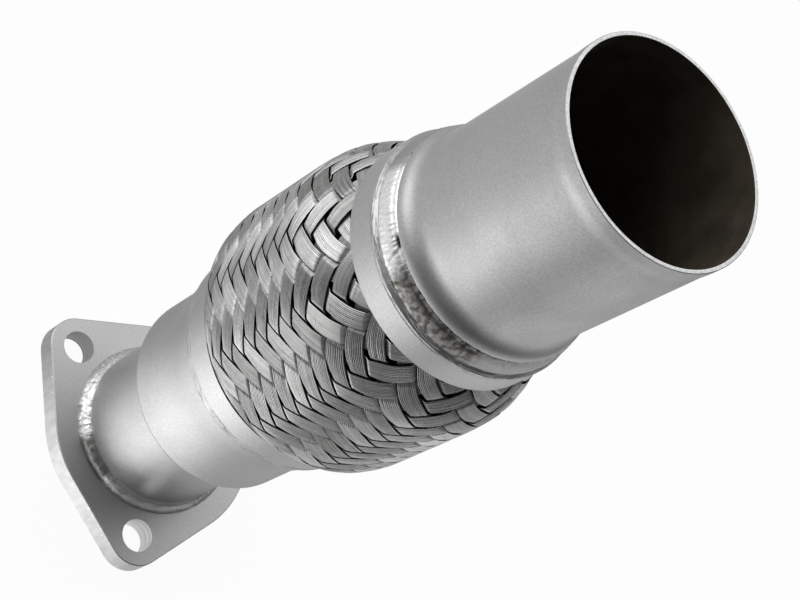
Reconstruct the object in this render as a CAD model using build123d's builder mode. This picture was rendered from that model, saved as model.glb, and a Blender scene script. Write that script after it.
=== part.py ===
"""Flexible exhaust pipe for a turbocharger: flange, swaged inlet, braided bellows and outlet pipe."""

from build123d import *
from math import atan2, cos, exp, hypot, pi, radians, sin
import os

os.makedirs("parts", exist_ok=True)

# The origin is the centre of the flange's mating face. +Z runs along the pipe to its mouth, and one
# ear of the flange points along +Y. All sizes are millimetres, and heights start at the mating face.

# Pipes
inlet_diameter = 65.0
outlet_diameter = 76.2
pipe_wall = 1.5
overall_length = 316.0

# Flange
flange_thickness = 10.0
flange_hub_radius = 45.5
flange_ear_radius = 12.5
flange_edge = 0.4
bolt_circle = 93.5
bolt_count = 3
bolt_hole_diameter = 13.5
socket_depth = 7.0
socket_clearance = 0.1

# Inlet neck
shoulder_start = 59.0
shoulder_end = 64.6
shoulder_bend = 4.0
neck_radius = 39.1
inlet_flare_start = 90.5
inlet_flare_radius = 43.0
inlet_joint_height = 111.0

# Outlet pipe
outlet_flare_start = 244.5
outlet_flare_end = 238.0
outlet_flare_radius = 41.0
outlet_joint_height = 229.8
mouth_swell = 0.3
mouth_length = 5.0
mouth_taper = 1.5

# Collars
collar_wall = 1.5
collar_shoulder_radius = 43.7
inlet_collar_length = 17.0
inlet_collar_edge_radius = 45.3
inlet_collar_corner = 0.8
outlet_collar_length = 13.4
outlet_collar_edge_radius = 44.1
outlet_collar_corner = 1.2

# Tubes gripped under each collar, from the outside in
grip_clearance = 0.2
braid_wall = 0.9
cuff_clearance = 0.1
bellows_wall = 0.6
liner_clearance = 0.1
liner_wall = 1.8

# Bellows
convolution_count = 3
crest_radius = 47.5
cuff_length = 20.0

# Braid: 24 ribbons of each hand, each over two and under two, so its floats stand in 24 columns.
# Rows and columns count in ribbons. float_start is the row of the first float, and how far its
# column stands round. A rise gives how far the sleeve has swollen at a distance from the collar.
ribbon_count = 24
braid_turn = -9.6
braid_crown_radius = 52.8
braid_relief = 0.8
inlet_rise = [(0.0, 0.0), (0.6, 4.5), (1.0, 14.0)]
outlet_rise = [(0.0, 0.0), (0.6, 11.0), (1.0, 26.0)]
row_pitch = 7.35
row_start = -0.15
row_stretch = 0.375
row_stretch_length = 15.0
row_tolerance = 0.001
ribbon_cover = 0.9
float_start = 0.25
float_length = 1.36
float_depth = 2.4
collar_gap = 0.4
gap_rows = 2
gap_width = 3.0
gap_height = 1.9
gap_depth = 4.0

# Welds
weld_crown = 0.4
weld_bite = 0.1
flange_weld_width = 3.1
flange_weld_height = 5.2
seam_weld_width = 0.5
seam_weld_height = 1.5
seam_weld_crown = 0.25
outlet_weld_width = 1.4
outlet_weld_height = 6.5
outlet_weld_crown = 0.7

# Worked out from the sizes above
inlet_radius = inlet_diameter / 2
outlet_radius = outlet_diameter / 2
bolt_radius = bolt_circle / 2
socket_floor = flange_thickness - socket_depth
inlet_collar_edge = inlet_joint_height + inlet_collar_length
outlet_collar_edge = outlet_joint_height - outlet_collar_length
stack_low = inlet_joint_height + collar_wall
stack_high = outlet_joint_height - collar_wall
grip_radius = collar_shoulder_radius - collar_wall - grip_clearance
column_angle = 360 / ribbon_count
braid_bore = (grip_radius - braid_wall) * cos(radians(column_angle / 2))
cuff_radius = braid_bore - cuff_clearance
cuff_bore = cuff_radius - bellows_wall
liner_radius = cuff_bore - liner_clearance


# Flange: a hub and three ears in one hull, with a socket for the pipe and plain bolt holes
with BuildPart() as flange:
    with BuildSketch():
        Circle(flange_hub_radius)
        with PolarLocations(bolt_radius, bolt_count, start_angle=90):
            Circle(flange_ear_radius)
        make_hull()
    extrude(amount=flange_thickness)
    with Locations((0, 0, flange_thickness)):
        CounterBoreHole(
            radius=inlet_radius - pipe_wall,
            counter_bore_radius=inlet_radius + socket_clearance,
            counter_bore_depth=socket_depth,
        )
    with PolarLocations(bolt_radius, bolt_count, start_angle=90):
        Hole(bolt_hole_diameter / 2)
    outer_wires = [face.outer_wire() for face in flange.faces().filter_by(Plane.XY)]
    rims = [wire for wire in outer_wires if wire.length > 2 * pi * flange_hub_radius]
    chamfer([edge for wire in rims for edge in wire.edges()], flange_edge)
flange.part.label = "flange"

# Inlet pipe: a stub swaged out to the neck and flared to meet the collar
with BuildPart() as inlet_pipe:
    with BuildSketch(Plane.XZ):
        with BuildLine():
            shoulder_foot = (inlet_radius, shoulder_start)
            shoulder_top = (neck_radius, shoulder_end)
            Polyline(
                (inlet_radius, socket_floor),
                shoulder_foot,
                shoulder_top,
                (neck_radius, inlet_flare_start),
                (inlet_flare_radius, inlet_joint_height),
            )
            offset(amount=pipe_wall, side=Side.LEFT)
        make_face()
        fillet(vertices().sort_by_distance(shoulder_foot)[0], shoulder_bend)
        fillet(vertices().sort_by_distance(shoulder_top)[0], shoulder_bend)
    revolve(axis=Axis.Z)
    split(bisect_by=Plane.XY.offset(inlet_joint_height), keep=Keep.BOTTOM)
inlet_pipe.part.label = "inlet_pipe"

# Outlet pipe: flared at its foot to sit on the collar's lip, and expanded a little at its mouth
with BuildPart() as outlet_pipe:
    with BuildSketch(Plane.XZ):
        with BuildLine():
            Polyline(
                (outlet_flare_radius, outlet_joint_height),
                (outlet_flare_radius, outlet_flare_end),
                (outlet_radius, outlet_flare_start),
                (outlet_radius, overall_length - mouth_length - mouth_taper),
                (outlet_radius + mouth_swell, overall_length - mouth_length),
                (outlet_radius + mouth_swell, overall_length),
            )
            offset(amount=pipe_wall, side=Side.LEFT)
        make_face()
    revolve(axis=Axis.Z)
    split(bisect_by=Plane.XY.offset(overall_length), keep=Keep.BOTTOM)
outlet_pipe.part.label = "outlet_pipe"


def collar_section(joint_height, edge_height, edge_radius, corner):
    """Draw half of a pressed ring: a tapered skirt, and a lip that closes over the stack."""
    lip_height = joint_height + (collar_wall if edge_height > joint_height else -collar_wall)
    with BuildSketch(Plane.XZ) as section:
        with BuildLine():
            Polyline(
                (edge_radius, edge_height),
                (collar_shoulder_radius, joint_height),
                (cuff_bore, joint_height),
                (cuff_bore, lip_height),
                (collar_shoulder_radius - collar_wall, lip_height),
                (edge_radius - collar_wall, edge_height),
                close=True,
            )
        make_face()
        shoulder = section.vertices().sort_by_distance((collar_shoulder_radius, joint_height))[0]
        chamfer(shoulder, corner)
    return section.sketch


with BuildPart() as inlet_collar:
    add(
        collar_section(
            inlet_joint_height,
            inlet_collar_edge,
            inlet_collar_edge_radius,
            inlet_collar_corner,
        )
    )
    revolve(axis=Axis.Z)
inlet_collar.part.label = "inlet_collar"

with BuildPart() as outlet_collar:
    add(
        collar_section(
            outlet_joint_height,
            outlet_collar_edge,
            outlet_collar_edge_radius,
            outlet_collar_corner,
        )
    )
    revolve(axis=Axis.Z)
outlet_collar.part.label = "outlet_collar"

# Flange weld: a fillet bead in the corner between the flange and the pipe
with BuildPart() as flange_weld:
    with BuildSketch(Plane.XZ):
        with BuildLine():
            toe = (inlet_radius + flange_weld_width, flange_thickness)
            top = (inlet_radius, flange_thickness + flange_weld_height)
            Polyline(toe, (inlet_radius, flange_thickness), top)
            SagittaArc(top, toe, weld_crown)
        make_face()
    revolve(axis=Axis.Z)
flange_weld.part.label = "flange_weld"

# Inlet weld: a flush seam in the groove between the flared pipe end and the collar's corner
with BuildPart() as inlet_weld:
    with BuildSketch(Plane.XZ):
        with BuildLine():
            toe = (inlet_flare_radius - seam_weld_width, inlet_joint_height - seam_weld_height)
            top = (collar_shoulder_radius - weld_bite, inlet_joint_height + seam_weld_height)
            Polyline(toe, (inlet_flare_radius - pipe_wall, inlet_joint_height), top)
            SagittaArc(top, toe, seam_weld_crown)
        make_face()
    revolve(axis=Axis.Z)
    add(inlet_pipe.part, mode=Mode.SUBTRACT)
    add(inlet_collar.part, mode=Mode.SUBTRACT)
inlet_weld.part.label = "inlet_weld"

# Outlet weld: a heavy bead that stands on the outlet collar's lip, round the pipe's foot
with BuildPart() as outlet_weld:
    with BuildSketch(Plane.XZ):
        with BuildLine():
            foot = outlet_flare_radius - weld_bite
            toe = (outlet_flare_radius + outlet_weld_width, outlet_joint_height)
            top = (foot, outlet_joint_height + outlet_weld_height)
            Polyline(toe, (foot, outlet_joint_height), top)
            SagittaArc(top, toe, outlet_weld_crown)
        make_face()
    revolve(axis=Axis.Z)
    add(outlet_pipe.part, mode=Mode.SUBTRACT)
outlet_weld.part.label = "outlet_weld"

# Liner: the interlocked hose, plain here, from one collar lip to the other
with BuildPart() as liner:
    with BuildSketch(Plane.XY.offset(inlet_joint_height)):
        Circle(liner_radius)
        Circle(liner_radius - liner_wall, mode=Mode.SUBTRACT)
    extrude(amount=outlet_joint_height - inlet_joint_height)
liner.part.label = "liner"

# Bellows: a cuff at each end and a row of convolutions between them
fold_start = stack_low + cuff_length
fold_end = stack_high - cuff_length
fold_step = (fold_end - fold_start) / convolution_count / 2
folds = [
    (cuff_radius if turn % 2 == 0 else crest_radius, fold_start + fold_step * turn)
    for turn in range(2 * convolution_count + 1)
]
with BuildPart() as bellows:
    with BuildSketch(Plane.XZ):
        with BuildLine():
            outer = [(cuff_radius, stack_low), *folds, (cuff_radius, stack_high)]
            Polyline(*outer, *[(r - bellows_wall, h) for r, h in reversed(outer)], close=True)
        make_face()
    revolve(axis=Axis.Z)
bellows.part.label = "bellows"


def crown_profile(swell):
    """Radius and height of the braid's outer line, from the inlet collar to the outlet collar."""
    low = [(grip_radius + swell * share, inlet_collar_edge + rise) for share, rise in inlet_rise]
    high = [(grip_radius + swell * share, outlet_collar_edge - rise) for share, rise in outlet_rise]
    return [(grip_radius, stack_low), *low, *reversed(high), (grip_radius, stack_high)]


crown = crown_profile(braid_crown_radius - grip_radius)
ground = crown_profile(braid_crown_radius - braid_relief - grip_radius)


def crown_at(height):
    """Radius of the crown line at a height."""
    for (r0, h0), (r1, h1) in zip(crown, crown[1:]):
        if h0 <= height <= h1:
            return r0 + (r1 - r0) * (height - h0) / (h1 - h0)


def row_at(height):
    """Count of weave rows down from the outlet collar: rows are taller beside that collar."""
    depth = outlet_collar_edge - height
    return row_start + depth / row_pitch - row_stretch * (1 - exp(-depth / row_stretch_length))


def height_of(row):
    """Height at which a row lies, by halving the span between the collars."""
    low, high = stack_low, stack_high
    while high - low > row_tolerance:
        middle = (low + high) / 2
        if row_at(middle) > row:
            low = middle
        else:
            high = middle
    return low


def ring_of_floats(row, hand):
    """Make one ring of floats: low bars, arched along the ribbon, that dip at both ends."""
    height = height_of(row)
    radius = crown_at(height)
    slope = (crown_at(height + row_pitch / 2) - crown_at(height - row_pitch / 2)) / row_pitch
    column = 2 * pi * radius / ribbon_count
    row_height = height_of(row - 0.5) - height_of(row + 0.5)
    reach = hypot(column, row_height)
    steep = atan2(column, row_height)
    rise = Vector(slope, 0, 1).normalized() * cos(steep)
    run = Vector(0, 1, 0) * sin(steep)
    normal = Vector(1, 0, -slope).normalized()
    along = run - rise * hand
    across = run + rise * hand
    width = ribbon_cover * reach / 2
    start = Vector(radius, 0, height) - across * (width / 2)
    with BuildSketch(Plane(origin=start, x_dir=along, z_dir=along.cross(normal))) as arch:
        with BuildLine():
            Polyline(
                (-reach * float_length / 2, -float_depth),
                (0, 0),
                (reach * float_length / 2, -float_depth),
                close=True,
            )
        make_face()
    bar = extrude(arch.sketch, amount=width, dir=across, mode=Mode.PRIVATE)
    turn = braid_turn + column_angle * (float_start if hand > 0 else 1 + float_start)
    return [bar.rotate(Axis.Z, turn + 2 * column_angle * n) for n in range(ribbon_count // 2)]


def braid_ring(radius, height):
    """Draw the sleeve's outline at a height, with a corner under the middle of each float."""
    with BuildSketch(Plane.XY.offset(height), mode=Mode.PRIVATE) as ring:
        RegularPolygon(radius, ribbon_count, rotation=braid_turn + column_angle * float_start)
    return ring.sketch


# Heights between which no float stands out past a collar's opening
collar_zones = [
    (stack_low, inlet_collar_edge + collar_gap, inlet_collar_edge_radius - collar_wall),
    (outlet_collar_edge - collar_gap, stack_high, outlet_collar_edge_radius - collar_wall),
]

# Braid: floats on a thin sleeve, cut clear of the collars, with open gaps beside the outlet collar
with BuildPart() as braid:
    loft(sections=[braid_ring(radius, height) for radius, height in ground], ruled=True)
    floats = []
    for row in range(int(row_at(inlet_collar_edge)) + 1):
        floats += ring_of_floats(row + float_start, 1)
        floats += ring_of_floats(row + float_start + 0.5, -1)
    add(floats)
    loft(
        sections=[braid_ring(radius - braid_wall, height) for radius, height in ground],
        ruled=True,
        mode=Mode.SUBTRACT,
    )
    gap_planes = []
    for step in range(1, gap_rows + 1):
        height = height_of(step / 2)
        for n in range(ribbon_count):
            angle = radians(braid_turn + column_angle * (n + step / 2))
            outward = Vector(cos(angle), sin(angle), 0)
            middle = outward * crown_at(height) + Vector(0, 0, height)
            gap_planes.append(Plane(origin=middle, x_dir=(0, 0, 1), z_dir=outward))
    with BuildSketch(*gap_planes):
        Polygon((gap_height / 2, 0), (0, gap_width / 2), (-gap_height / 2, 0), (0, -gap_width / 2))
    extrude(amount=-gap_depth, mode=Mode.SUBTRACT)
    for low, high, opening in collar_zones:
        with BuildSketch(Plane.XY.offset(low)):
            Circle(braid_crown_radius + float_depth)
            add(braid_ring((grip_radius + opening) / 2, low), mode=Mode.SUBTRACT)
        extrude(amount=high - low, mode=Mode.SUBTRACT)
braid.part.label = "braid"

# Files
export_step(flange.part, "parts/flange.step")
export_step(flange_weld.part, "parts/flange_weld.step")
export_step(inlet_pipe.part, "parts/inlet_pipe.step")
export_step(inlet_weld.part, "parts/inlet_weld.step")
export_step(inlet_collar.part, "parts/inlet_collar.step")
export_step(braid.part, "parts/braid.step")
export_step(bellows.part, "parts/bellows.step")
export_step(liner.part, "parts/liner.step")
export_step(outlet_collar.part, "parts/outlet_collar.step")
export_step(outlet_weld.part, "parts/outlet_weld.step")
export_step(outlet_pipe.part, "parts/outlet_pipe.step")
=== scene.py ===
"""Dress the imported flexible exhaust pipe: smooth tubes and collars, weld beads and a woven wire braid.

The frame is the CAD's: metres, with the flange's mating face at Z = 0 and the mouth at the top.
Profiles are written in millimetres, as (radius, height) or (radius, height, bend radius), and scaled
by MM. Azimuths, elevations and arcs are in degrees.
"""

import math

import bpy
import bmesh
import numpy as np
from mathutils import Matrix, Vector, noise


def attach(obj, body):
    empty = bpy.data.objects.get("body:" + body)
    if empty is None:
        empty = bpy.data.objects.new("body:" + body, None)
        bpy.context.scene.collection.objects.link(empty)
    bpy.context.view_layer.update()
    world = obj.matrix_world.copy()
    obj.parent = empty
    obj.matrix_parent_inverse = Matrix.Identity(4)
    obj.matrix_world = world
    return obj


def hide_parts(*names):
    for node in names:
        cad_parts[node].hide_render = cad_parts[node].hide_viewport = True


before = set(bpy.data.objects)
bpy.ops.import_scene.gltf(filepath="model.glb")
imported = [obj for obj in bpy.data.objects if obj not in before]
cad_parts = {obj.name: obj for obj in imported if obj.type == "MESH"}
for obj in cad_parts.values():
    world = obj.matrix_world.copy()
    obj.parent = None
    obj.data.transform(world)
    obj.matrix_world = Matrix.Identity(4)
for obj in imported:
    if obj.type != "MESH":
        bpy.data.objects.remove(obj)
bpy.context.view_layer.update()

MM = 0.001
SEED = 7

# Sizes in millimetres
WALL = 1.5
EDGE = 0.3
FOOT_RADIUS = 41.0
FOOT_HEIGHT = 229.8
PIPE_RADIUS = 38.1
MOUTH_RADIUS = 38.4
MOUTH_HEIGHT = 316.0
STUB_RADIUS = 32.5
STUB_HEIGHT = 3.0
NECK_RADIUS = 39.1
FLARE_RADIUS = 43.0
FLARE_HEIGHT = 111.0
CUFF_RADIUS = 40.1
COLLAR_EDGE = 216.4
COLLAR_TOP = 229.9
BOLT_ANGLES = (90, 210, 330)
BOLT_CIRCLE_RADIUS = 46.75
BOLT_HOLE_RADIUS = 6.75

# Camera
CAMERA_AIM = (0.00122, 0.00026, 0.18208)
CAMERA_AZIMUTH = -76.87
CAMERA_ELEVATION = 48.119
CAMERA_DISTANCE = 0.64713
CAMERA_ROLL = 61.461
CAMERA_LENS = 83.98
CAMERA_SENSOR = 36.0
CAMERA_CLIP_START = 0.01


def direction(azimuth, elevation):
    """Unit vector that points out at an azimuth and an elevation."""
    a, e = math.radians(azimuth), math.radians(elevation)
    return Vector((math.cos(e) * math.cos(a), math.cos(e) * math.sin(a), math.sin(e)))


def add_camera():
    """The photograph's camera: it looks down at the pipe from the side and is rolled."""
    out = direction(CAMERA_AZIMUTH, CAMERA_ELEVATION)
    turn = (-out).to_track_quat("-Z", "Y").to_matrix().to_4x4()
    place = Matrix.Translation(Vector(CAMERA_AIM) + out * CAMERA_DISTANCE)
    data = bpy.data.cameras.new("camera")
    data.lens = CAMERA_LENS
    data.sensor_width = CAMERA_SENSOR
    data.clip_start = CAMERA_CLIP_START
    camera = bpy.data.objects.new("camera", data)
    camera.matrix_world = place @ turn @ Matrix.Rotation(math.radians(CAMERA_ROLL), 4, "Z")
    bpy.context.scene.collection.objects.link(camera)
    bpy.context.scene.camera = camera


add_camera()


# Material helpers
class Nodes:
    """A short way to write a material's node tree. place is the place on the object, in metres."""

    def __init__(self, name):
        self.material = bpy.data.materials.new(name)
        self.material.use_nodes = True
        self.tree = self.material.node_tree
        self.shader = self.tree.nodes["Principled BSDF"]
        self.place = self.add("ShaderNodeTexCoord").outputs["Object"]

    def add(self, kind, **settings):
        node = self.tree.nodes.new(kind)
        for key, value in settings.items():
            setattr(node, key, value)
        return node

    def link(self, source, socket):
        self.tree.links.new(source, socket)

    def link_or_set(self, socket, value):
        """Feed a colour socket from another socket, a grey or a colour."""
        if isinstance(value, bpy.types.NodeSocket):
            self.link(value, socket)
        elif isinstance(value, float):
            socket.default_value = grey(value)
        else:
            socket.default_value = (*value, 1.0)

    def split(self, vector):
        """The x, y and z of a vector."""
        node = self.add("ShaderNodeSeparateXYZ")
        self.link(vector, node.inputs[0])
        return tuple(node.outputs)

    def join(self, *values):
        """A vector of up to three values."""
        node = self.add("ShaderNodeCombineXYZ")
        for value, socket in zip(values, node.inputs):
            self.link(value, socket)
        return node.outputs[0]

    def length(self, vector):
        node = self.add("ShaderNodeVectorMath", operation="LENGTH")
        self.link(vector, node.inputs[0])
        return node.outputs["Value"]

    def mapped(self, **settings):
        """The place on the object with a location, rotation or scale applied."""
        node = self.add("ShaderNodeMapping")
        for key, value in settings.items():
            node.inputs[key.capitalize()].default_value = value
        self.link(self.place, node.inputs["Vector"])
        return node.outputs["Vector"]

    def math(self, operation, a, b=0.0):
        node = self.add("ShaderNodeMath", operation=operation)
        for socket, value in zip(node.inputs, (a, b)):
            if isinstance(value, bpy.types.NodeSocket):
                self.link(value, socket)
            else:
                socket.default_value = value
        return node.outputs[0]

    def noise(self, scale, detail=3.0, rough=0.5, place=None):
        """Clouds from 0 to 1, with scale cells to one unit of place."""
        node = self.add("ShaderNodeTexNoise")
        node.inputs["Scale"].default_value = scale
        node.inputs["Detail"].default_value = detail
        node.inputs["Roughness"].default_value = rough
        self.link(self.place if place is None else place, node.inputs["Vector"])
        return node.outputs["Fac"]

    def grain(self):
        """The finest noise, which all coated steel shares."""
        return self.noise(1500.0, detail=2.0, rough=0.6)

    def round_noise(self, round_scale, across_scale):
        """Noise drawn out round the axis: cells a radian, and cells a metre across."""
        x, y, z = self.split(self.place)
        turn = self.math("MULTIPLY", self.math("ARCTAN2", y, x), round_scale)
        radius = self.math("MULTIPLY", self.length(self.join(x, y)), across_scale)
        height = self.math("MULTIPLY", z, across_scale)
        return self.noise(1.0, place=self.join(turn, radius, height))

    def fade(self, value, start, end, low=0.0, high=1.0):
        """Smooth step of a value from low at start to high at end."""
        node = self.add("ShaderNodeMapRange", interpolation_type="SMOOTHSTEP")
        forward = end > start
        node.inputs["From Min"].default_value = start if forward else end
        node.inputs["From Max"].default_value = end if forward else start
        node.inputs["To Min"].default_value = low if forward else high
        node.inputs["To Max"].default_value = high if forward else low
        self.link(value, node.inputs["Value"])
        return node.outputs["Result"]

    def band(self, low, high, soft):
        """1 between two heights in millimetres, fading to 0 over soft millimetres outside them."""
        height = self.split(self.place)[2]
        up = self.fade(height, (low - soft) * MM, low * MM)
        down = self.fade(height, (high + soft) * MM, high * MM)
        return self.math("MULTIPLY", up, down)

    def near_bolts(self):
        """1 on the walls of the bolt holes, fading to 0 just outside them."""
        away = []
        for angle in BOLT_ANGLES:
            centre = direction(angle, 0) * BOLT_CIRCLE_RADIUS * MM
            away.append(self.length(self.mapped(location=-centre, scale=(1.0, 1.0, 0.0))))
        nearest = self.math("MINIMUM", self.math("MINIMUM", away[0], away[1]), away[2])
        return self.fade(nearest, BOLT_HOLE_RADIUS * 1.2 * MM, BOLT_HOLE_RADIUS * 1.1 * MM)

    def ramp(self, value, stops):
        """Greys or colours along a value, from stops of (position, grey or colour)."""
        node = self.add("ShaderNodeValToRGB")
        elements = node.color_ramp.elements
        while len(elements) < len(stops):
            elements.new(0.5)
        for element, (at, colour) in zip(elements, stops):
            element.position = at
            element.color = grey(colour) if isinstance(colour, float) else (*colour, 1.0)
        self.link(value, node.inputs["Fac"])
        return node.outputs["Color"]

    def mix(self, factor, a, b):
        """Colour a where the factor is 0, and b where it is 1."""
        node = self.add("ShaderNodeMix", data_type="RGBA")
        if isinstance(factor, float):
            node.inputs[0].default_value = factor
        else:
            self.link(factor, node.inputs[0])
        colour_a, colour_b, result = node.inputs[6], node.inputs[7], node.outputs[2]
        self.link_or_set(colour_a, a)
        self.link_or_set(colour_b, b)
        return result

    def attribute(self, name):
        return self.add("ShaderNodeAttribute", attribute_name=name).outputs["Fac"]

    def bump(self, height, strength, distance, normal=None):
        """Bumps up to distance metres high, on top of another normal."""
        node = self.add("ShaderNodeBump")
        node.inputs["Strength"].default_value = strength
        node.inputs["Distance"].default_value = distance
        self.link(height, node.inputs["Height"])
        if normal is not None:
            self.link(normal, node.inputs["Normal"])
        return node.outputs["Normal"]

    def finish(self, colour, roughness, metallic, normal):
        """Set the shader and give back the material."""
        self.link_or_set(self.shader.inputs["Base Color"], colour)
        if isinstance(roughness, bpy.types.NodeSocket):
            self.link(roughness, self.shader.inputs["Roughness"])
        else:
            self.shader.inputs["Roughness"].default_value = roughness
        self.shader.inputs["Metallic"].default_value = metallic
        self.link(normal, self.shader.inputs["Normal"])
        return self.material


def grey(value):
    """A very slightly cool grey."""
    return (value, value, value * 1.01, 1.0)


# Materials. Noise scales are in cells a metre, and bump heights in metres. The scratches and the plate's
# flecks lie between two heights in millimetres; SCRATCH_SOFT and the flecks' third number are how many
# millimetres they fade out over.
COAT_METALLIC = 0.90
BARE_METALLIC = 0.95
SPARKLE_SHARE = 0.35
GRAIN_STRENGTH = 0.12
GRAIN_HEIGHT = 0.0002
SCRATCH_GREY = 0.52
SCRATCH_ROUGHNESS = 0.36
SCRATCH_SOFT = 0.8
OUTLET_SCRATCHES = (227.6, 229.9)
INLET_SCRATCHES = (111.6, 114.2)
# Painted shade: the bellows are near black so that the braid's gaps read dark.
BELLOWS_SHADE_GREY = 0.012
SOOT_AND_SHADE_BROWNS = [(0.3, (0.042, 0.035, 0.026)), (0.7, (0.075, 0.062, 0.046))]
WELD_BROWNS = [(0.3, (0.080, 0.073, 0.062)), (0.5, (0.110, 0.102, 0.091)), (0.72, (0.19, 0.18, 0.165))]
WIRE_GREYS = [(0.0, (0.26, 0.255, 0.247)), (0.5, (0.47, 0.47, 0.47)), (1.0, (0.76, 0.75, 0.73))]
PLATE_FLECKS = (7.5, 9.4, 1.0)


def coat_colour(n, grain, light, dark):
    """Faint clouds from dark to light, with a sparkle that reaches a little past both."""
    cloud = n.ramp(n.noise(28.0, detail=4.0, rough=0.6), [(0.3, dark), (0.7, light)])
    sparkle = n.ramp(grain, [(0.35, dark * 0.75), (0.65, light * 1.2)])
    return n.mix(SPARKLE_SHARE, cloud, sparkle)


def coat_normal(n, grain, under=None):
    """A slight orange peel over the grain, on top of another normal."""
    fine = n.bump(grain, GRAIN_STRENGTH, GRAIN_HEIGHT, under)
    return n.bump(n.noise(160.0, detail=2.0), strength=0.20, distance=0.0004, normal=fine)


def silver_coat(name, light, dark, roughness):
    """Satin silver coating."""
    n = Nodes(name)
    grain = n.grain()
    colour = coat_colour(n, grain, light, dark)
    rough = n.ramp(n.noise(60.0), [(0.3, roughness - 0.03), (0.7, roughness + 0.05)])
    return n.finish(colour, rough, COAT_METALLIC, coat_normal(n, grain))


def scratched_coat(name, light, dark, roughness, low, high):
    """The silver coating, ground through in fine scratches round the axis between two heights."""
    n = Nodes(name)
    grain = n.grain()
    line = n.ramp(n.round_noise(4.0, 1500.0), [(0.50, 0.0), (0.58, 1.0)])
    patch = n.ramp(n.round_noise(3.0, 60.0), [(0.38, 0.0), (0.52, 1.0)])
    scratch = n.math("MULTIPLY", n.math("MULTIPLY", line, n.band(low, high, SCRATCH_SOFT)), patch)
    colour = n.mix(scratch, coat_colour(n, grain, light, dark), SCRATCH_GREY)
    rough = n.ramp(scratch, [(0.0, roughness), (1.0, SCRATCH_ROUGHNESS)])
    cut = n.bump(scratch, strength=1.0, distance=0.0006)
    return n.finish(colour, rough, COAT_METALLIC, coat_normal(n, grain, cut))


def soot_and_shade_steel():
    """Dull, nearly black metal of the inside walls: partly soot, partly painted shade, and a painted shadow
    on the inlet collar's top end.
    """
    n = Nodes("soot_and_shade")
    colour = n.ramp(n.noise(90.0, detail=4.0), SOOT_AND_SHADE_BROWNS)
    # Low specular keeps it black even where light reaches it: painted shade.
    n.shader.inputs["Specular IOR Level"].default_value = 0.08
    bumps = n.bump(n.noise(900.0), strength=0.15, distance=0.0003)
    return n.finish(colour, roughness=0.85, metallic=0.0, normal=bumps)


def cut_rim():
    """Bare steel of the cut pipe end: grainy, with fine turning marks round the axis."""
    n = Nodes("cut_rim")
    mark = n.round_noise(3.0, 2500.0)
    speck = n.noise(1100.0, rough=0.7)
    marked = n.ramp(mark, [(0.3, 0.48), (0.7, 0.66)])
    colour = n.mix(0.5, marked, n.ramp(speck, [(0.35, 0.38), (0.65, 0.84)]))
    bumps = n.bump(speck, strength=0.3, distance=0.0003)
    bumps = n.bump(mark, strength=0.2, distance=0.0001, normal=bumps)
    return n.finish(colour, roughness=0.42, metallic=BARE_METALLIC, normal=bumps)


def weld_metal():
    """Weld bead, by the mesh's values: coated, bare where bare is 1, brown by stain, and black as painted
    shade in the slit.
    """
    n = Nodes("weld_metal")
    speck = n.noise(900.0, rough=0.65)
    patch = n.noise(800.0, detail=4.0, rough=0.7)
    bright = n.ramp(speck, [(0.3, 0.72), (0.7, 0.93)])
    bare = n.mix(n.attribute("stain"), bright, n.ramp(patch, WELD_BROWNS))
    coat = n.ramp(n.grain(), [(0.35, 0.40), (0.65, 0.52)])
    # Painted shade: nearly black in the slit beside the outlet pipe.
    colour = n.mix(n.attribute("slit_shade"), n.mix(n.attribute("bare"), coat, bare), 0.002)
    shine = n.ramp(patch, [(0.3, 0.26), (0.7, 0.46)])
    rough = n.mix(n.attribute("bare"), 0.50, shine)
    bumps = n.bump(speck, strength=0.25, distance=0.0003)
    return n.finish(colour, rough, COAT_METALLIC, bumps)


def braid_wire():
    """Drawn steel wire: grey by the mesh's tone, black as painted shade where it runs under another ribbon
    or beside the inlet collar, and crimped in places.
    """
    n = Nodes("braid_wire")
    streak = n.ramp(n.noise(420.0, rough=0.6), [(0.3, 0.18), (0.7, 0.50)])
    # The mesh's tone holds painted shade towards the bottom of the braid.
    colour = n.mix(0.25, n.ramp(n.attribute("tone"), WIRE_GREYS), streak)
    # Painted shade: the wire is coloured nearly black where it runs under another ribbon or beside the
    # inlet collar.
    colour = n.mix(n.attribute("dip"), colour, 0.02)
    rough = n.ramp(n.noise(120.0), [(0.3, 0.24), (0.7, 0.33)])
    crimp = n.math("MULTIPLY", n.math("SINE", n.attribute("along")), n.attribute("crimp"))
    bumps = n.bump(n.noise(2200.0, detail=2.0), strength=0.06, distance=0.0001)
    bumps = n.bump(crimp, strength=0.14, distance=0.0001, normal=bumps)
    return n.finish(colour, rough, BARE_METALLIC, bumps)


def bellows_shade():
    """Nearly black bellows, which only shows through the gaps of the braid: painted shade in the gaps."""
    n = Nodes("bellows_painted_shade")
    colour = n.ramp(n.noise(150.0, detail=4.0), [(0.3, BELLOWS_SHADE_GREY * 0.6), (0.7, BELLOWS_SHADE_GREY)])
    bumps = n.bump(n.noise(500.0), strength=0.1, distance=0.0003)
    return n.finish(colour, roughness=0.7, metallic=0.6, normal=bumps)


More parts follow.
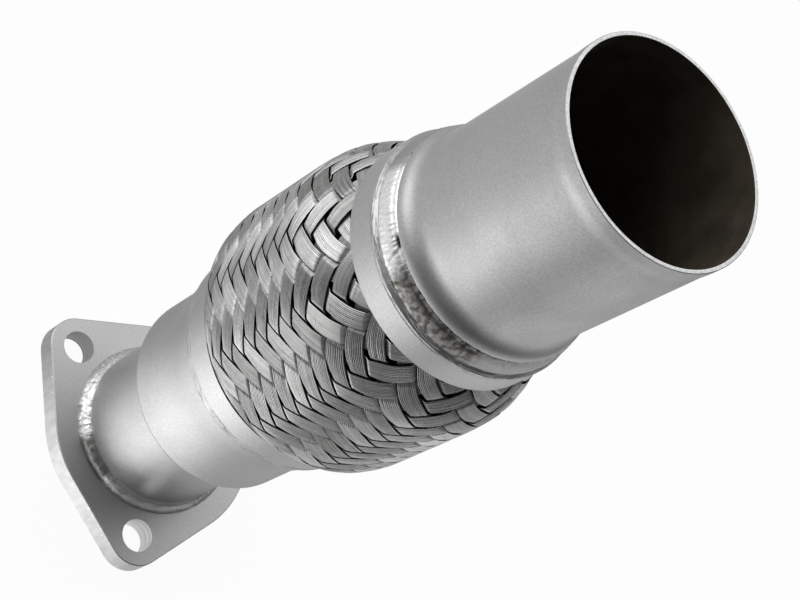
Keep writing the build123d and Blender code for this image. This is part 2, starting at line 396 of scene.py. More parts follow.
def cut_plate():
    """Flange plate: coated faces, a cut edge with flecks, and drill rings in the bolt holes."""
    n = Nodes("cut_plate")
    grain = n.grain()
    cloud = n.ramp(n.noise(35.0, detail=4.0, rough=0.6), [(0.3, 0.45), (0.7, 0.51)])
    face = n.mix(SPARKLE_SHARE, cloud, n.ramp(grain, [(0.35, 0.36), (0.65, 0.60)]))
    score = n.noise(350.0, rough=0.6, place=n.mapped(scale=(1.0, 1.0, 0.3)))
    fleck = n.ramp(n.noise(700.0, detail=2.0, rough=0.6), [(0.66, 0.0), (0.70, 1.0)])
    fleck = n.math("MULTIPLY", fleck, n.band(*PLATE_FLECKS))
    edge = n.mix(fleck, n.ramp(score, [(0.3, 0.40), (0.7, 0.51)]), 0.9)
    ring = n.noise(900.0, detail=2.0, place=n.mapped(scale=(0.02, 0.02, 1.0)))
    drilled = n.near_bolts()
    edge = n.mix(drilled, edge, n.ramp(ring, [(0.35, 0.46), (0.65, 0.62)]))
    level = n.math("ABSOLUTE", n.split(n.add("ShaderNodeNewGeometry").outputs["Normal"])[2])
    side = n.ramp(level, [(0.25, 1.0), (0.6, 0.0)])
    bumps = n.bump(n.math("MULTIPLY", ring, drilled), strength=0.15, distance=0.0003)
    bumps = n.bump(score, strength=0.15, distance=0.0004, normal=bumps)
    bumps = n.bump(grain, GRAIN_STRENGTH, GRAIN_HEIGHT, bumps)
    return n.finish(n.mix(side, face, edge), roughness=0.50, metallic=COAT_METALLIC, normal=bumps)


PIPE_COAT = silver_coat("pipe_coat", light=0.47, dark=0.42, roughness=0.42)
OUTLET_COLLAR_COAT = scratched_coat("outlet_collar_coat", 0.47, 0.43, 0.40, *OUTLET_SCRATCHES)
INLET_COLLAR_COAT = scratched_coat("inlet_collar_coat", 0.47, 0.43, 0.40, *INLET_SCRATCHES)
SOOT_AND_SHADE = soot_and_shade_steel()
RIM = cut_rim()
WELD = weld_metal()
WIRE = braid_wire()
PLATE = cut_plate()
BELLOWS_SHADE = bellows_shade()

# Mesh helpers
ARC_STEP = 9.0
ARC_MARGIN = 0.4
LATHE_STEPS = 256
LATHE_SHARP = 40.0
SOFT_SHARP = 80.0
RIM_DEPTH = 0.1
RIM_FACES_UP = 0.8
INNER_FACES_IN = -0.3


def fillet_corner(before, corner, after, bend):
    """Points of the arc that rounds a corner, with a support point just outside each end."""
    b, c, a = Vector(before[:2]), Vector(corner[:2]), Vector(after[:2])
    u, v = (b - c).normalized(), (a - c).normalized()
    opening = u.angle(v)
    reach = bend / math.tan(opening / 2)
    centre = c + (u + v).normalized() * (bend / math.sin(opening / 2))
    start, end = c + u * reach, c + v * reach
    sweep = math.pi - opening
    count = max(2, math.ceil(math.degrees(sweep) / ARC_STEP))
    points = []
    p, q = start - centre, end - centre
    for i in range(count + 1):
        t = i / count
        arm = (p * math.sin((1 - t) * sweep) + q * math.sin(t * sweep)) / math.sin(sweep)
        points.append(centre + arm)
    margin = min(ARC_MARGIN, reach) * 0.5
    return [start + u * margin] + points + [end + v * margin]


def rounded_loop(corners):
    """A closed profile whose corners with a bend radius are arcs."""
    points = []
    for i, corner in enumerate(corners):
        before, after = corners[i - 1], corners[(i + 1) % len(corners)]
        if len(corner) > 2:
            points += fillet_corner(before, corner, after, corner[2])
        else:
            points.append(Vector(corner[:2]))
    return points


def turned(radius, height, angle):
    """Place in metres of a radius and a height in millimetres at an angle in radians."""
    return (radius * MM * math.cos(angle), radius * MM * math.sin(angle), height * MM)


def ring_faces(rows, columns, close_rows):
    """Quads of a grid whose columns close round the axis, and its rows too if asked."""
    faces = []
    for i in range(rows if close_rows else rows - 1):
        for j in range(columns):
            k, m = (i + 1) % rows, (j + 1) % columns
            faces.append((i * columns + j, i * columns + m, k * columns + m, k * columns + j))
    return faces


def new_piece(name, vertices, faces, materials, replaced, sharp):
    """Make a mesh object that rides on the one body and stands for CAD nodes."""
    mesh = bpy.data.meshes.new(name)
    mesh.from_pydata(vertices, [], faces)
    mesh.validate()
    for material in materials:
        mesh.materials.append(material)
    mesh.shade_smooth()
    mesh.set_sharp_from_angle(angle=math.radians(sharp))
    piece = bpy.data.objects.new(name, mesh)
    bpy.context.scene.collection.objects.link(piece)
    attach(piece, "root")
    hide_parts(*replaced)
    return piece


def add_values(piece, name, values):
    """Store one number a vertex for the material to read."""
    layer = piece.data.attributes.new(name, "FLOAT", "POINT")
    layer.data.foreach_set("value", values)


def lathe(name, corners, materials, replaced):
    """Turn a closed profile about the axis. Its outside takes the first material, the inner walls the
    second, and the cut top end the third, where there is one."""
    profile = rounded_loop(corners)
    turns = [math.tau * j / LATHE_STEPS for j in range(LATHE_STEPS)]
    vertices = [turned(r, h, a) for r, h in profile for a in turns]
    faces = ring_faces(len(profile), LATHE_STEPS, True)
    piece = new_piece(name, vertices, faces, materials, replaced, LATHE_SHARP)
    bm = bmesh.new()
    bm.from_mesh(piece.data)
    bmesh.ops.recalc_face_normals(bm, faces=bm.faces)
    top = max(h for r, h in profile) * MM
    for face in bm.faces:
        middle = face.calc_center_median()
        out = Vector((middle.x, middle.y, 0.0)).normalized()
        at_top = middle.z > top - RIM_DEPTH * MM and face.normal.z > RIM_FACES_UP
        if len(materials) > 2 and at_top:
            face.material_index = 2
        elif face.normal.dot(out) < INNER_FACES_IN:
            face.material_index = 1
    bm.to_mesh(piece.data)
    bm.free()


# Tubes and collars
def add_tubes():
    outlet = [
        (FOOT_RADIUS, FOOT_HEIGHT), (FOOT_RADIUS, 239.3, 7.0), (PIPE_RADIUS, 244.6, 10.0),
        (PIPE_RADIUS, 308.5, 20.0), (MOUTH_RADIUS, 312.0, 20.0), (MOUTH_RADIUS, MOUTH_HEIGHT, EDGE),
        (MOUTH_RADIUS - WALL, MOUTH_HEIGHT, EDGE), (MOUTH_RADIUS - WALL, 312.0, 20.0),
        (PIPE_RADIUS - WALL, 308.5, 20.0), (PIPE_RADIUS - WALL, 244.9, 8.5),
        (FOOT_RADIUS - WALL, 239.6, 8.5), (FOOT_RADIUS - WALL, FOOT_HEIGHT),
    ]
    lathe("outlet_tube", outlet, [PIPE_COAT, SOOT_AND_SHADE, RIM], ["outlet_pipe"])
    inlet = [
        (STUB_RADIUS, STUB_HEIGHT), (STUB_RADIUS, 59.0, 4.0), (NECK_RADIUS, 64.6, 4.0),
        (NECK_RADIUS, 90.5, 60.0), (FLARE_RADIUS, FLARE_HEIGHT), (FLARE_RADIUS - WALL, FLARE_HEIGHT),
        (NECK_RADIUS - WALL, 90.7, 60.0), (NECK_RADIUS - WALL, 65.4, 2.5),
        (STUB_RADIUS - WALL, 59.8, 5.5), (STUB_RADIUS - WALL, STUB_HEIGHT),
    ]
    lathe("inlet_tube", inlet, [PIPE_COAT, SOOT_AND_SHADE], ["inlet_pipe"])


def add_collars():
    outlet = [
        (44.1, COLLAR_EDGE, EDGE), (43.75, 228.4, 0.4), (42.5, COLLAR_TOP), (CUFF_RADIUS, COLLAR_TOP),
        (CUFF_RADIUS, 228.3), (42.2, 228.3), (42.6, COLLAR_EDGE, EDGE),
    ]
    lathe("outlet_skirt", outlet, [OUTLET_COLLAR_COAT, SOOT_AND_SHADE], ["outlet_collar"])
    inlet = [
        (45.3, 127.3, EDGE), (43.8, 127.3, EDGE), (42.2, 112.5), (CUFF_RADIUS, 112.5),
        (CUFF_RADIUS, FLARE_HEIGHT), (43.7, FLARE_HEIGHT, 0.8),
    ]
    # The inlet collar's top end is coloured nearly black: a painted shadow under the edge of the braid.
    lathe("inlet_skirt", inlet, [INLET_COLLAR_COAT, SOOT_AND_SHADE, SOOT_AND_SHADE], ["inlet_collar"])


# Weld beads. Reliefs are in millimetres. share runs across a bead, from 0 at its outer toe to 1.
BEAD_STEPS = 1440
BEAD_FULLNESS = 0.8
TOE_DEPTH = 0.35
TOE_SLOPE = 6
SWAY = 0.25
SWAY_SCALE = 10.2
SWAY_ACROSS = 0.3
LUMP_ACROSS = 0.16

# Stretches of the beads: azimuths of the two ends, and how many degrees it fades out over
OUTLET_RIPPLED = (-132, -96, 12)
OUTLET_LUMPY = (-90, -36, 6)
OUTLET_RIGHT = (-84, 30, 10)
OUTLET_BARE = (-134, -38, 11)
OUTLET_BROWN = (-82, -30, 11)
OUTLET_BARE_RIDGE = (-180, 25, 10)
OUTLET_FAR_SIDE = (100, 216, 12)
FLANGE_FOAM = (-134, -98, 8)
FLANGE_BLOB = (-92, -70, 7)
FLANGE_LOW = (-62, 10, 10)
FLANGE_BROWN = (-93, -68, 6)
FLANGE_MOTTLED = (-134, -50, 10)
FLANGE_LOW_STAIN = (-62, 0, 8)
FLANGE_BARE = (-132, -62, 12)
FLANGE_LOW_BARE = (-62, 0, 12)

RIPPLES = 140
RIDGE_AT, GROOVE_AT, RIDGE_WIDTH = 0.90, 0.79, 0.035
SLIT_AT, SLIT_LENGTH = -98, 3.0
STEP_AT, STEP_SLANT, STEP_WIDTH = -92.5, 6, 1.0
SEAM_LINES = (0.30, 0.82)


def smoothstep(low, high, value):
    t = min(1.0, max(0.0, (value - low) / (high - low)))
    return t * t * (3 - 2 * t)


def bell(value, middle, width):
    """1 at the middle, falling off to both sides."""
    return math.exp(-((value - middle) / width) ** 2)


def in_arc(angle, arc):
    """1 within a stretch of a bead, fading to 0 outside it."""
    low, high, soft = arc
    middle, half = (low + high) / 2, (high - low) / 2
    away = abs((angle - middle + 180) % 360 - 180)
    return 1 - smoothstep(half, half + soft, away)


def lumps(angle, share, scale, offset):
    """Noise from about -1 to 1 along a bead, finer with a larger scale."""
    a = math.radians(angle)
    p = Vector((math.cos(a) * scale, math.sin(a) * scale, share * scale * LUMP_ACROSS + offset))
    return noise.noise(p)


def bead(name, outer_toe, inner_toe, crown, relief, values, replaced, rows=17):
    """A weld bead: a bulged strip between two toes, moved along its normal by relief(angle, share).

    values gives a function of angle and share for each value that the material reads.
    """
    (r0, h0), (r1, h1) = outer_toe, inner_toe
    run = Vector((r1 - r0, h1 - h0))
    along = run.normalized()
    normal = Vector((run.y, -run.x)).normalized()
    if normal.x < 0:
        normal = -normal
    places = [(360 * j / BEAD_STEPS - 180, i / (rows - 1)) for i in range(rows) for j in range(BEAD_STEPS)]
    vertices = []
    for angle, share in places:
        a = math.radians(angle)
        round_place = Vector((math.cos(a), math.sin(a), 0)) * SWAY_SCALE
        sway = SWAY * noise.noise(round_place + Vector((SEED, share * SWAY_ACROSS, 0)))
        lift = crown * math.sin(math.pi * share) ** BEAD_FULLNESS + relief(angle, share)
        lift -= TOE_DEPTH * (1 - min(1.0, TOE_SLOPE * min(share, 1 - share)))
        r = r0 + run.x * share + normal.x * lift + sway * along.x
        h = h0 + run.y * share + normal.y * lift + sway * along.y
        vertices.append(turned(r, h, a))
    faces = ring_faces(rows, BEAD_STEPS, False)
    piece = new_piece(name, vertices, faces, [WELD], replaced, SOFT_SHARP)
    for key, value_at in values.items():
        add_values(piece, key, [value_at(angle, share) for angle, share in places])
    face_out(piece)


def face_out(piece):
    """Turn the faces of an open strip round the axis so that they look out."""
    bm = bmesh.new()
    bm.from_mesh(piece.data)
    bmesh.ops.recalc_face_normals(bm, faces=bm.faces)
    bm.faces.ensure_lookup_table()
    sample = bm.faces[len(bm.faces) // 2]
    middle = sample.calc_center_median()
    if sample.normal.dot(Vector((middle.x, middle.y, 0.0))) < 0:
        bmesh.ops.reverse_faces(bm, faces=bm.faces)
    bm.to_mesh(piece.data)
    bm.free()


def outlet_breaks(angle):
    """Noise that breaks the ridge beside the outlet pipe, the same for its shape, stain and shine."""
    return lumps(angle, 0, 40, 23)


def outlet_slit(angle, share):
    """1 in the open slit between the outlet bead and the pipe."""
    return math.exp(-(((angle - SLIT_AT) / SLIT_LENGTH) ** 4)) * bell(share, 0.88, 0.08)


def outlet_relief(angle, share):
    """Fine ripples, then lumps, with a groove, a thin ridge and a slit beside the pipe, and one step."""
    body = math.sin(math.pi * share)
    smooth = in_arc(angle, OUTLET_RIPPLED)
    rough = in_arc(angle, OUTLET_LUMPY)
    wave = math.radians(angle * RIPPLES) + 9 * (share - 0.5) ** 2 + 3 * lumps(angle, 0, 14, 3)
    lift = (0.055 * smooth + 0.010) * math.sin(wave) * body
    lift += 0.12 * lumps(angle, share, 22, 11)
    lift += (0.04 + 0.05 * rough) * lumps(angle, share, 60, 5)
    lift += (0.01 + 0.05 * rough) * lumps(angle, share, 150, 8)
    whole = 0.25 + 0.75 * smoothstep(-0.15, 0.25, outlet_breaks(angle))
    near_side = max(smooth, rough, 0.2, in_arc(angle, OUTLET_RIGHT))
    ridge = 0.18 * bell(share, RIDGE_AT, RIDGE_WIDTH) * whole * near_side
    groove = 0.34 * bell(share, GROOVE_AT, RIDGE_WIDTH) * (0.2 + 0.8 * smooth + 0.4 * rough)
    slit = 0.1 * outlet_slit(angle, share)
    step = 0.25 * bell(angle - STEP_AT + STEP_SLANT * (share - 0.5), 0.0, STEP_WIDTH) * body
    flat = 0.20 * (1 - max(smooth, rough)) * body
    return lift + (ridge - groove) - slit - step - flat


def outlet_stain(angle, share):
    """Brown on the near side, but for the ridge, and full on the far side."""
    clean = bell(share, 0.92, 0.06) * smoothstep(-0.3, 0.0, outlet_breaks(angle))
    mottled = 0.75 + 0.25 * smoothstep(-0.3, 0.3, lumps(angle, share, 26, 31))
    brown = in_arc(angle, OUTLET_BROWN) * mottled * (1 - 0.8 * clean)
    return max(brown, in_arc(angle, OUTLET_FAR_SIDE))


def outlet_bare(angle, share):
    """Bare on the near side and along the ridge, and dulled a little on the far side."""
    whole = smoothstep(0.15, 0.35, outlet_breaks(angle) + 0.4 * in_arc(angle, OUTLET_RIGHT))
    ridge = bell(share, 0.93, 0.05) * whole * in_arc(angle, OUTLET_BARE_RIDGE)
    return max(in_arc(angle, OUTLET_BARE), ridge, 0.3 * in_arc(angle, OUTLET_FAR_SIDE))


def outlet_slit_shade(angle, share):
    """Painted shade: black in the slit."""
    return min(1.0, 1.6 * outlet_slit(angle, share))


def flange_relief(angle, share):
    """Foamy flecks on the left, a smooth blob below them, and a broad low bead at the bottom."""
    body = math.sin(math.pi * share)
    foam = in_arc(angle, FLANGE_FOAM)
    lift = (0.08 + 0.24 * foam) * lumps(angle, share, 20, 41)
    lift += (0.05 + 0.09 * foam) * lumps(angle, share, 48, 2)
    lift += 0.20 * (1 - foam) * lumps(angle, share, 10, 13) * body
    return lift + (0.45 * in_arc(angle, FLANGE_BLOB) + 0.25 * in_arc(angle, FLANGE_LOW)) * body


def flange_stain(angle, share):
    """Brown blob, lighter mottling beside it, and a trace at the bottom."""
    mottled = 0.45 * smoothstep(0.0, 0.35, lumps(angle, share, 18, 17)) * in_arc(angle, FLANGE_MOTTLED)
    return max(0.85 * in_arc(angle, FLANGE_BROWN), mottled, 0.15 * in_arc(angle, FLANGE_LOW_STAIN))


def flange_bare(angle, share):
    """Little coat on the near side, and flecks elsewhere."""
    fleck = smoothstep(0.22, 0.34, lumps(angle, share, 46, 29))
    near = max(0.85 * in_arc(angle, FLANGE_BARE), 0.7 * in_arc(angle, FLANGE_LOW_BARE))
    return max(near, 0.8 * fleck)


def seam_relief(angle, share):
    """Nearly flush, with one thin broken ridge on each side."""
    first, second = SEAM_LINES
    broken = smoothstep(-0.05, 0.2, lumps(angle, 0, 55, 6))
    dashed = smoothstep(0.05, 0.25, lumps(angle, 0, 75, 19))
    ridges = 0.10 * bell(share, first, 0.05) * broken + 0.10 * bell(share, second, 0.05) * dashed
    return ridges + 0.05 * lumps(angle, share, 120, 9)


def seam_stain(angle, share):
    return 0.6 * smoothstep(0.1, 0.4, lumps(angle, share, 60, 13))


def seam_bare(angle, share):
    """Bare metal along the two ridges, where they aren't broken."""
    line = sum(bell(share, at, 0.09) for at in SEAM_LINES)
    return min(1.0, line) * smoothstep(0.0, 0.2, lumps(angle, 0, 55, 6))


def add_beads():
    outlet = {"stain": outlet_stain, "bare": outlet_bare, "slit_shade": outlet_slit_shade}
    bead("outlet_bead", (42.8, 229.3), (40.9, 238.4), 0.60, outlet_relief, outlet, ["outlet_weld"])
    flange = {"stain": flange_stain, "bare": flange_bare}
    bead("flange_bead", (36.1, 9.9), (32.4, 15.6), 0.45, flange_relief, flange, ["flange_weld"])
    seam = {"stain": seam_stain, "bare": seam_bare}
    bead("inlet_bead", (43.75, 113.4), (42.55, 109.3), 0.14, seam_relief, seam, ["inlet_weld"], rows=15)


# Woven braid, in millimetres. Rows are counted down from the outlet collar: a ribbon goes over two of
# the other hand's ribbons in one row and under two in the next. PHASES are the rows, from the middle of
# each stretch on top, at which a ribbon has its cross-sections.
RIBBONS = 24
COLUMN = math.tau / RIBBONS
BRAID_TURN = math.radians(-9.6)
FIRST_RIGHT, FIRST_LEFT = 0.25, 0.75
ROW_PITCH, ROW_START = 7.35, -0.15
ROW_STRETCH, ROW_STRETCH_LENGTH, ROW_STRETCH_TOP = 0.375, 15.0, -20
FIRST_ROW, LAST_ROW = -0.55, 12.0
FLOATS = 8
PHASES = [-0.55, -0.50, -0.46, -0.42, -0.20, 0.00, 0.20, 0.42, 0.46, 0.50, 0.55, 0.85, 1.15]
WIRES = 10
WIRE_TURNS = (180, 135, 90, 45, 0)
WIRE_RADIUS = 0.32
WIRE_HEIGHT = 0.19
WEAVE_LIFT = 0.62
WEAVE_STEEPNESS = 12.0
WEAVE_HOLLOW = 0.15
RIBBON_FILL = 0.99
RIBBON_WIDTH = 6.4
RIBBON_SWAY = 0.16
WIDTH_WANDER = 0.03
OUTLET_GAP = 1.5
OUTLET_GAP_LENGTH = 17.0
OUTLET_SHADE_CUT = 0.7
WAIST, WAIST_LENGTH = 0.12, 0.28
BOW, BOW_SHIFT = 0.10, 0.35
CRIMP_PITCH = 0.9
LOOSE_LEAST, LOOSE_MORE = 0.03, 0.34
# Painted shadow: the braid is coloured black below this height beside the inlet collar, fading over this
# length.
COLLAR_SHADE_BELOW, COLLAR_SHADE_LENGTH = 131.8, 2.0
# Painted shade: the braid is coloured darker towards its bottom, from this height down over this length, by
# up to this much.
BOTTOM_SHADE_BELOW, BOTTOM_SHADE_LENGTH, BOTTOM_SHADE = 156.0, 22.0, 0.40
TONE_MIDDLE, TONE_BY_FLOAT, TONE_BY_WIRE = 0.40, 0.75, 0.40
SWAY_SEED, LOOSE_SEED, CRIMP_SEED = 31, 57, 83

# The braid's outside: (height, radius), and how many of HEIGHT_STEPS it is smoothed over
CROWN = [
    (115.0, 41.8), (124.0, 42.0), (128.2, 42.4), (130.2, 45.6), (132.8, 48.9), (138.5, 51.8),
    (145.0, 52.7), (188.0, 52.7), (196.0, 52.1), (203.3, 49.6), (211.0, 45.8), (216.4, 42.35),
    (221.0, 41.9), (226.0, 41.8),
]
HEIGHT_STEPS = 2400
CROWN_SMOOTHING = 81


def row_at(height):
    """Row at a height. Each row is taller near the outlet collar."""
    depth = COLLAR_EDGE - height
    fewer = 1 - np.exp(-np.maximum(depth, ROW_STRETCH_TOP) / ROW_STRETCH_LENGTH)
    return ROW_START + depth / ROW_PITCH - ROW_STRETCH * fewer


def smoothed_crown(heights):
    """Radius of the braid's outside at each height, with the corners of CROWN smoothed."""
    radii = np.interp(heights, [h for h, r in CROWN], [r for h, r in CROWN])
    window = np.hanning(CROWN_SMOOTHING)
    padded = np.pad(radii, CROWN_SMOOTHING // 2, mode="edge")
    return np.convolve(padded, window / window.sum(), "valid")


HEIGHTS = np.linspace(CROWN[0][0], CROWN[-1][0], HEIGHT_STEPS)
ROWS = row_at(HEIGHTS)
CROWN_RADII = smoothed_crown(HEIGHTS)


def height_of(row):
    return np.interp(row, ROWS[::-1], HEIGHTS[::-1])


def crown_at(height):
    return np.interp(height, HEIGHTS, CROWN_RADII)


def drift(seed, t, scale):
    """Smooth random wandering of about -1 to 1 along a ribbon."""
    return np.array([noise.noise(Vector((seed * 7.31, x * scale, SEED))) for x in t]) * 1.6


def middle_line(strand, hand, first, t):
    """Azimuth, height, radius and direction of a ribbon's middle line at the rows t."""
    theta = BRAID_TURN + (strand + hand * t) * COLUMN
    height = height_of(t + BOW * np.cos(math.pi * (t - first)))
    radius = crown_at(height) - WEAVE_LIFT - WIRE_HEIGHT
    run_round = np.gradient(theta, t) * radius
    run_down = np.gradient(height, t)
    length = np.hypot(run_round, run_down)
    return theta, height, radius, run_round / length, run_down / length


def wire_line(strand, hand, first, t, offset):
    """Azimuth and height of a wire beside the middle line. It meets the edge of each crossing ribbon at
    the rows where the middle line does."""
    rows = t
    for _ in range(3):
        theta, height, radius, go_round, go_down = middle_line(strand, hand, first, rows)
        at_theta = theta - go_down * offset / radius
        at_height = height + go_round * offset
        crossing = (at_theta - BRAID_TURN) / COLUMN + hand * row_at(at_height)
        rows = rows + t - hand * (crossing - strand) / 2
    return at_theta, at_height


def ribbon_rows(first):
    """Rows of a ribbon's cross-sections. first is the middle of one of its stretches on top."""
    start = first + 2 * math.floor((FIRST_ROW - first) / 2)
    rows = np.array([start + 2 * n + phase for n in range(FLOATS) for phase in PHASES])
    return rows[(rows > FIRST_ROW) & (rows < LAST_ROW)]


def ribbon_width(key, t, first, pitch, near_outlet):
    """Width of a ribbon: nearly the lattice's pitch, narrower near the outlet and at each elbow."""
    elbow = np.exp(-((((t - first + 0.5) % 2 - 1) / WAIST_LENGTH) ** 2))
    width = np.minimum(RIBBON_FILL * pitch, RIBBON_WIDTH - OUTLET_GAP * near_outlet)
    return width * (1 - WAIST * elbow) * (1 + WIDTH_WANDER * drift(key, t, 0.8))


def ribbon_dip(lift, height, near_outlet):
    """Painted shade: 1 where a ribbon is coloured black, for the shade under another ribbon and the shadow
    beside the inlet collar.
    """
    under = np.clip((-0.1 - lift) / 0.5, 0, 1)
    collar_shadow = np.clip((COLLAR_SHADE_BELOW - height) / COLLAR_SHADE_LENGTH, 0, 1)
    return np.maximum(under, collar_shadow) * (1 - OUTLET_SHADE_CUT * near_outlet)


def ribbon(strand, hand):
    """Vertices, faces and vertex values of one ribbon's wires. hand is 1 or -1."""
    first = (FIRST_RIGHT if hand > 0 else FIRST_LEFT) + strand
    t = ribbon_rows(first)
    count = len(t)
    key = strand + (100 if hand > 0 else 200)
    float_number = np.floor((t - first + 1) / 2)
    lift = np.tanh(WEAVE_STEEPNESS * np.cos(math.pi * (t - first)))
    t = t + BOW_SHIFT * BOW
    theta, height, radius, go_round, go_down = middle_line(strand, hand, first, t)
    along = np.cumsum(np.hypot(np.gradient(theta) * radius, np.gradient(height)))
    near_outlet = np.exp(-np.maximum(COLLAR_EDGE - height, 0) / OUTLET_GAP_LENGTH)
    width = ribbon_width(key, t, first, COLUMN * radius * np.abs(go_down), near_outlet)
    sway = RIBBON_SWAY * drift(key + SWAY_SEED, t, 0.7)
    loose = LOOSE_LEAST + LOOSE_MORE * np.clip(drift(key + LOOSE_SEED, t, 0.45) - 0.25, 0, 1)
    crimp = np.clip(drift(key + CRIMP_SEED, t, 0.5) * 1.5 + 0.8 * near_outlet - 0.6, 0, 1)
    float_tone = np.array([noise.noise(Vector((key * 3.7, n * 5.3, SEED))) for n in float_number])
    # Painted shade, darker towards the bottom of the braid.
    painted_bottom_shade = BOTTOM_SHADE * np.clip((BOTTOM_SHADE_BELOW - height) / BOTTOM_SHADE_LENGTH, 0, 1)
    # Painted shade under crossing ribbons and painted shadow beside the inlet collar, for the wire's
    # colour.
    dip = ribbon_dip(lift, height, near_outlet)
    vertices, faces = [], []
    values = {"tone": [], "dip": [], "along": [], "crimp": []}
    for wire in range(WIRES):
        u = (wire + 0.5) / WIRES - 0.5
        wire_key = key * 13 + wire * 3.1
        across = u * width + sway + loose * drift(wire_key, t, 1.3)
        out = lift * WEAVE_LIFT * (1 - WEAVE_HOLLOW * (2 * u) ** 2)
        out = out + 0.5 * loose * drift(wire_key + 5, t, 1.1)
        wire_tone = TONE_BY_WIRE * noise.noise(Vector((wire_key, 2.7, SEED)))
        tone = np.clip(TONE_MIDDLE + TONE_BY_FLOAT * float_tone + wire_tone - painted_bottom_shade, 0, 1)
        base = len(vertices)
        for k in np.radians(WIRE_TURNS):
            at_theta, at_height = wire_line(strand, hand, first, t, across + WIRE_RADIUS * math.cos(k))
            r = crown_at(at_height) - WEAVE_LIFT - WIRE_HEIGHT + out + WIRE_HEIGHT * math.sin(k)
            vertices += list(zip(r * np.cos(at_theta) * MM, r * np.sin(at_theta) * MM, at_height * MM))
            values["tone"] += list(tone)
            values["dip"] += list(dip)
            values["along"] += list(along * math.tau / CRIMP_PITCH)
            values["crimp"] += list(crimp)
        for row in range(len(WIRE_TURNS) - 1):
            for i in range(count - 1):
                p = base + row * count + i
                faces.append((p, p + 1, p + count + 1, p + count))
    return vertices, faces, values


def add_ribbons(name, hand):
    """All the ribbons of one hand as one piece."""
    vertices, faces = [], []
    values = {"tone": [], "dip": [], "along": [], "crimp": []}
    for strand in range(RIBBONS):
        v, f, s = ribbon(strand, hand)
        base = len(vertices)
        vertices += v
        faces += [tuple(base + i for i in face) for face in f]
        for key in values:
            values[key] += s[key]
    piece = new_piece(name, vertices, faces, [WIRE], ["braid"], SOFT_SHARP)
    for key in values:
        add_values(piece, key, values[key])


# Make everything
add_tubes()
add_collars()
add_beads()
add_ribbons("ribbons_right", 1)
add_ribbons("ribbons_left", -1)

# The liner takes the nearly black inside metal: soot and painted shade.
for node, material in (("flange", PLATE), ("bellows", BELLOWS_SHADE), ("liner", SOOT_AND_SHADE)):
    for material_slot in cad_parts[node].material_slots:
        material_slot.material = material

# Stage. For what shines, the floor is a light table: a bright pool runs out from the object towards the
# camera, with darker flanks and a dim patch far out on one side. TABLE_GLOW is (degrees round the floor
# from the camera's azimuth, brightness). Each fade is (start, end, factor at the start, factor at the
# end), by the distance in metres or, in PATCH_WIDTH, by the degrees from the patch.
FLOOR_SIZE = 8.0
FLOOR_DROP = 0.0002
FLOOR_WHITE = (0.9, 0.9, 0.9, 1.0)
CAMERA_SHARE = 0.95
GLOW_SCALE = 2.0
TABLE_GLOW = [
    (-180, 0.80), (-168, 1.50), (-150, 0.55), (-120, 0.52), (-60, 0.78), (0, 0.88), (30, 0.65),
    (48, 0.55), (75, 1.00), (115, 0.90), (150, 0.56), (166, 0.58), (180, 0.80),
]
FLANK_NEAR = (0.03, 0.22, 0.62, 1.08)
FLANK_FAR = (0.35, 0.9, GLOW_SCALE, 0.45 * GLOW_SCALE)
POOL_OFFSET = 0.006
POOL_WIDTH = 62.0
POOL_NARROWING = (0.04, 0.26, 0.74, 1.05)
POOL_REACH = (0.17, 0.50, 1.85, 0.0)
PATCH_TURN = 86.0
PATCH_WIDTH = (62.0, 30.0, 0.0, 1.0)
PATCH_REACH = (0.50, 0.80, 0.0, 0.5)

# Light. The room is lighter towards ROOM_SIDE and darker away from it. A soft box is a place (azimuth
# and elevation), the angles from it at which its light starts to fade and ends, and its strength.
ROOM_DARK = 0.08
ROOM_LIGHT = 0.40
ROOM_SIDE = (171.0, 18.6)
SOFTBOXES = [
    ((-143.0, 20.0), 10.0, 36.0, 2.5),
    ((-178.0, 10.0), 10.0, 34.0, 0.7),
    ((124.0, 54.0), 14.0, 46.0, 1.6),
]
LAMP_AIM = (0, 0, 0.17)
LAMP_PLACE = (-158, 16)
LAMP_DISTANCE = 1.0
LAMP_SIZE = (0.80, 0.50)
LAMP_WATTS = 0.5


def table_glow(n):
    """Brightness of the floor as shiny metal sees it, from the place on the floor."""
    to_camera = (0.0, 0.0, -math.radians(CAMERA_AZIMUTH))
    x, y, _ = n.split(n.mapped(rotation=to_camera, location=(0.0, -POOL_OFFSET, 0.0)))
    turn = n.math("MULTIPLY", n.math("ARCTAN2", y, x), 180 / math.pi)
    far = n.length(n.place)
    around = n.math("ADD", n.math("MULTIPLY", turn, 1 / 360), 0.5)
    flank = n.ramp(around, [(angle / 360 + 0.5, glow / GLOW_SCALE) for angle, glow in TABLE_GLOW])
    flank = n.math("MULTIPLY", flank, n.fade(far, *FLANK_NEAR))
    flank = n.math("MULTIPLY", flank, n.fade(far, *FLANK_FAR))
    aside = n.math("MULTIPLY", n.math("ABSOLUTE", turn), n.fade(far, *POOL_NARROWING))
    pool = n.math("MULTIPLY", n.fade(aside, POOL_WIDTH, 0.0), n.fade(far, *POOL_REACH))
    aside = n.math("ABSOLUTE", n.math("ADD", turn, PATCH_TURN))
    patch = n.math("MULTIPLY", n.fade(aside, *PATCH_WIDTH), n.fade(far, *PATCH_REACH))
    return n.math("ADD", n.math("ADD", flank, pool), patch)


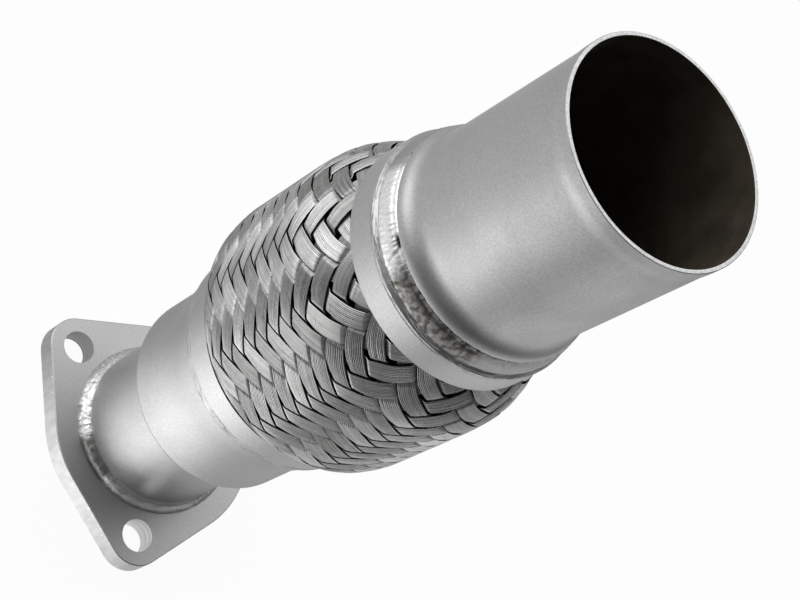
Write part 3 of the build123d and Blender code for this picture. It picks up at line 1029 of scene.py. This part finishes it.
def add_floor():
    """White to the camera, a light table to shiny metal, and a plain pale card to all other light."""
    bpy.ops.mesh.primitive_plane_add(size=FLOOR_SIZE, location=(0, 0, -FLOOR_DROP))
    floor = bpy.context.object
    floor.name = "floor"
    n = Nodes("floor_white")
    n.tree.nodes.remove(n.shader)
    card = n.add("ShaderNodeBsdfDiffuse")
    card.inputs["Color"].default_value = FLOOR_WHITE
    path = n.add("ShaderNodeLightPath")
    seen = path.outputs["Is Camera Ray"]
    strength = n.add("ShaderNodeMix", data_type="FLOAT")
    n.link(seen, strength.inputs[0])
    n.link(table_glow(n), strength.inputs[2])
    strength.inputs[3].default_value = 1.0
    glow = n.add("ShaderNodeEmission")
    n.link(strength.outputs[0], glow.inputs["Strength"])
    share = n.math("ADD", n.math("MULTIPLY", seen, CAMERA_SHARE), path.outputs["Is Glossy Ray"])
    share = n.math("ADD", share, path.outputs["Is Transmission Ray"])
    mix = n.add("ShaderNodeMixShader")
    n.link(share, mix.inputs[0])
    n.link(card.outputs[0], mix.inputs[1])
    n.link(glow.outputs[0], mix.inputs[2])
    n.link(mix.outputs[0], n.tree.nodes["Material Output"].inputs[0])
    floor.data.materials.append(n.material)


def add_world():
    """White to the camera, straight or through glass. To all else a room with three soft boxes."""
    world = bpy.data.worlds.new("studio")
    bpy.context.scene.world = world
    world.use_nodes = True
    tree = world.node_tree
    tree.nodes.clear()
    towards = tree.nodes.new("ShaderNodeTexCoord").outputs["Generated"]

    def lobe(place, start, end, low, high):
        """Glow from low to high as the cosine of the angle to a place goes from start to end."""
        side = tree.nodes.new("ShaderNodeVectorMath")
        side.operation = "DOT_PRODUCT"
        side.inputs[1].default_value = direction(*place)
        tree.links.new(towards, side.inputs[0])
        step = tree.nodes.new("ShaderNodeMapRange")
        step.interpolation_type = "SMOOTHSTEP"
        for socket, value in zip(("From Min", "From Max", "To Min", "To Max"), (start, end, low, high)):
            step.inputs[socket].default_value = value
        tree.links.new(side.outputs["Value"], step.inputs["Value"])
        return step.outputs["Result"]

    def total(a, b):
        node = tree.nodes.new("ShaderNodeMath")
        node.operation = "ADD"
        tree.links.new(a, node.inputs[0])
        tree.links.new(b, node.inputs[1])
        return node.outputs[0]

    glow = lobe(ROOM_SIDE, -1.0, 1.0, ROOM_DARK, ROOM_LIGHT)
    for place, inner, outer, strength in SOFTBOXES:
        box = lobe(place, math.cos(math.radians(outer)), math.cos(math.radians(inner)), 0.0, strength)
        glow = total(glow, box)
    room = tree.nodes.new("ShaderNodeBackground")
    tree.links.new(glow, room.inputs["Strength"])
    white = tree.nodes.new("ShaderNodeBackground")
    white.inputs["Color"].default_value = (1.0, 1.0, 1.0, 1.0)
    path = tree.nodes.new("ShaderNodeLightPath")
    mix = tree.nodes.new("ShaderNodeMixShader")
    out = tree.nodes.new("ShaderNodeOutputWorld")
    tree.links.new(total(path.outputs["Is Camera Ray"], path.outputs["Is Transmission Ray"]), mix.inputs[0])
    tree.links.new(room.outputs[0], mix.inputs[1])
    tree.links.new(white.outputs[0], mix.inputs[2])
    tree.links.new(mix.outputs[0], out.inputs[0])


def add_lamp():
    """One dim lamp at the side."""
    data = bpy.data.lights.new("side", "AREA")
    data.shape = "RECTANGLE"
    data.size, data.size_y = LAMP_SIZE
    data.energy = LAMP_WATTS
    lamp = bpy.data.objects.new("side", data)
    out = direction(*LAMP_PLACE)
    lamp.location = Vector(LAMP_AIM) + out * LAMP_DISTANCE
    lamp.rotation_euler = (-out).to_track_quat("-Z", "Y").to_euler()
    bpy.context.scene.collection.objects.link(lamp)


add_floor()
add_world()
add_lamp()

bpy.context.scene.view_settings.view_transform = "Standard"
